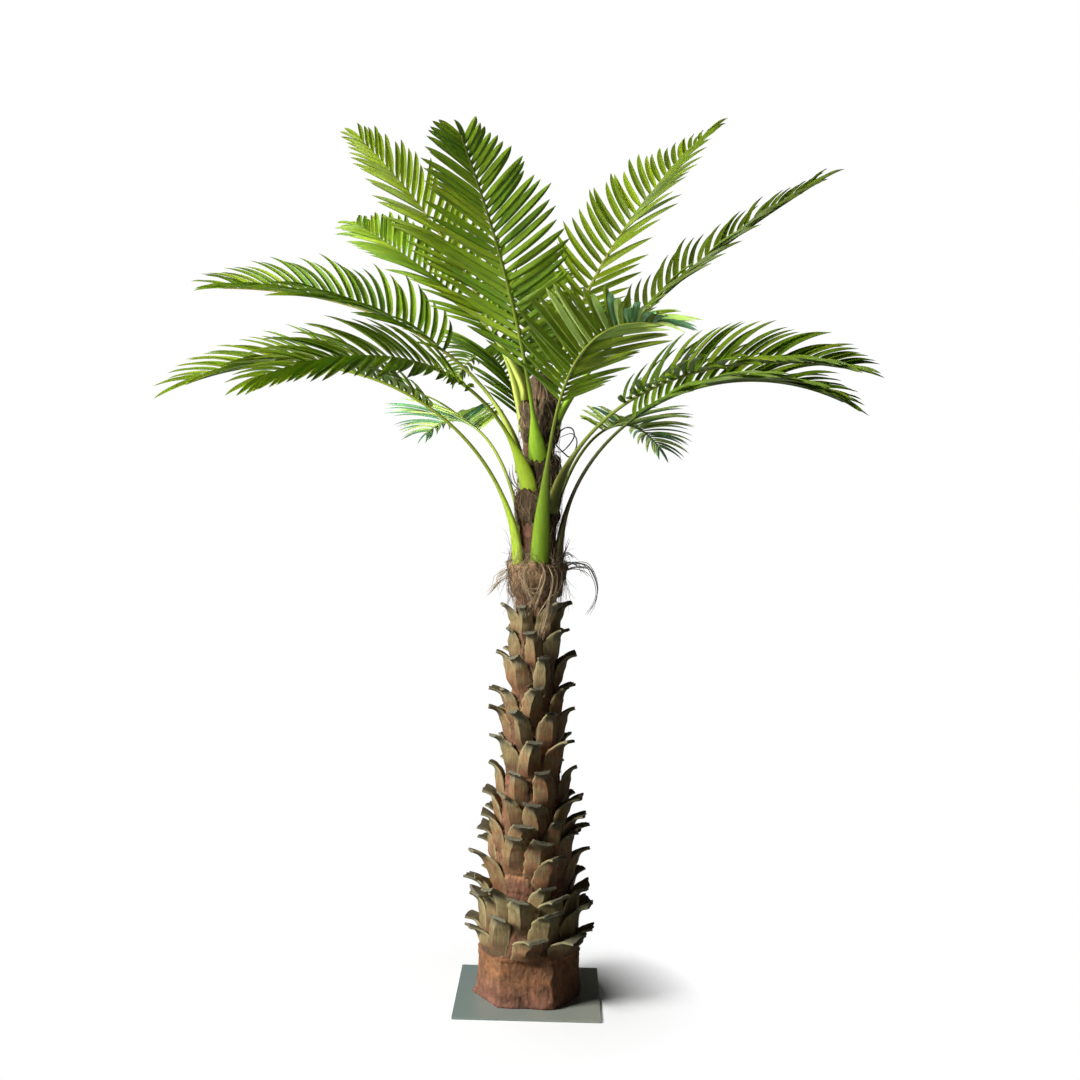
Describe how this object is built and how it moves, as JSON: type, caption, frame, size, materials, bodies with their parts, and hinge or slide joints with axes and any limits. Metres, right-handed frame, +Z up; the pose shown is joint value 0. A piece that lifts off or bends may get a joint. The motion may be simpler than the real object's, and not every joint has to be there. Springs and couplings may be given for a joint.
{
  "type": "artificial date palm tree",
  "caption": "Free-standing artificial date palm: a tapered trunk with rows of cut leaf stubs on a square steel plate, and arching fronds with paired leaflets.",
  "frame": {"origin": "middle of the base plate's flat underside, on the floor", "axes": "+Z up along the trunk, -Y towards the front that the picture shows, +X to the viewer's right; the plate's sides run along X and Y"},
  "size_m": [2.1119, 2.338, 2.9145],
  "materials": {
    "steel_plate": "smooth grey paint with a dull sheen",
    "bark": "rough terracotta bark with khaki leaf stubs",
    "fibre": "matted brown palm fibre",
    "leaf": "satin green plastic leaflets on lime stems"
  },
  "bodies": {
    "root": {"base_plate": "steel_plate", "trunk": "bark", "fibre_collar": "fibre", "fibre_wrap_lower": "fibre", "fibre_wrap_upper": "fibre", "fibre_cup": "fibre", "frond_low_left": "leaf", "frond_low_front": "leaf", "frond_low_right": "leaf", "frond_low_back_left": "leaf", "frond_low_back_right": "leaf", "frond_mid_front_left": "leaf", "frond_mid_front_right": "leaf", "frond_mid_left": "leaf", "frond_mid_front": "leaf", "frond_mid_back_right": "leaf", "frond_mid_back_left": "leaf", "frond_top_left": "leaf", "frond_top_back_left": "leaf", "frond_top_back_right": "leaf", "frond_top_right": "leaf", "frond_top_back": "leaf"}
  },
  "joints": []
}
